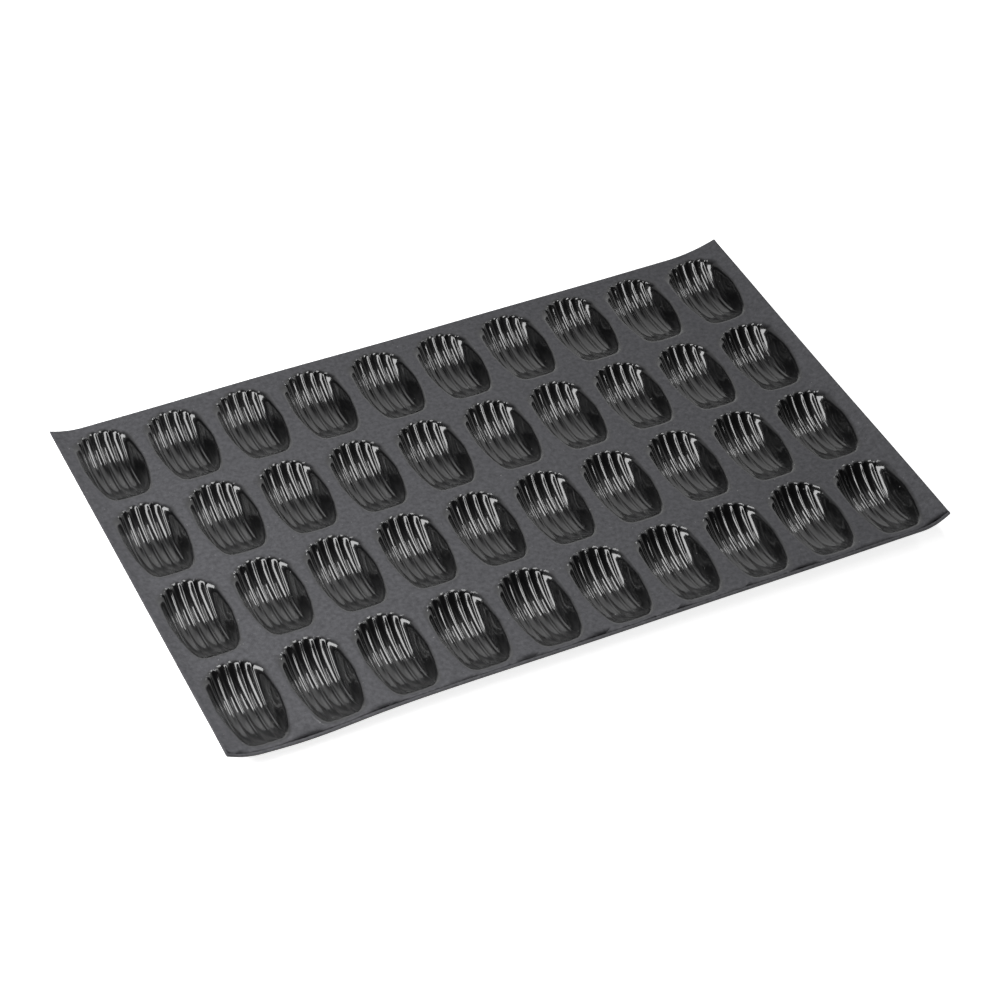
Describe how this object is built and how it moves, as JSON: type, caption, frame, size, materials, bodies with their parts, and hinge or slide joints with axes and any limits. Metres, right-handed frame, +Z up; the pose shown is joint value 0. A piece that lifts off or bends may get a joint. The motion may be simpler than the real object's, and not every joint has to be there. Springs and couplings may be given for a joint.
{
  "type": "flexible shell-cake mould sheet",
  "caption": "Flexible dark silicone and glass-cloth baking sheet, pressed into rows of scalloped shell-shaped wells for small cakes.",
  "frame": {"origin": "on the floor under the middle of the sheet; the wells' floors rest on z = 0", "axes": "+X along the long side, +Y towards the scalloped ends of the wells, +Z up out of the wells"},
  "size_m": [0.585, 0.3682, 0.02],
  "materials": {
    "food_silicone": "charcoal silicone, glossy inside the wells and semi-matt on the deck, with a faint trace of the weave",
    "glass_cloth": "plain-woven glass yarn soaked with silicone, seen only at the cut edge",
    "underside_silicone": "matt charcoal silicone that shows the weave"
  },
  "bodies": {
    "sheet": {"food_side_skin": "food_silicone", "glass_cloth_core": "glass_cloth", "underside_middle": "underside_silicone", "underside_ends": "underside_silicone"}
  },
  "joints": []
}
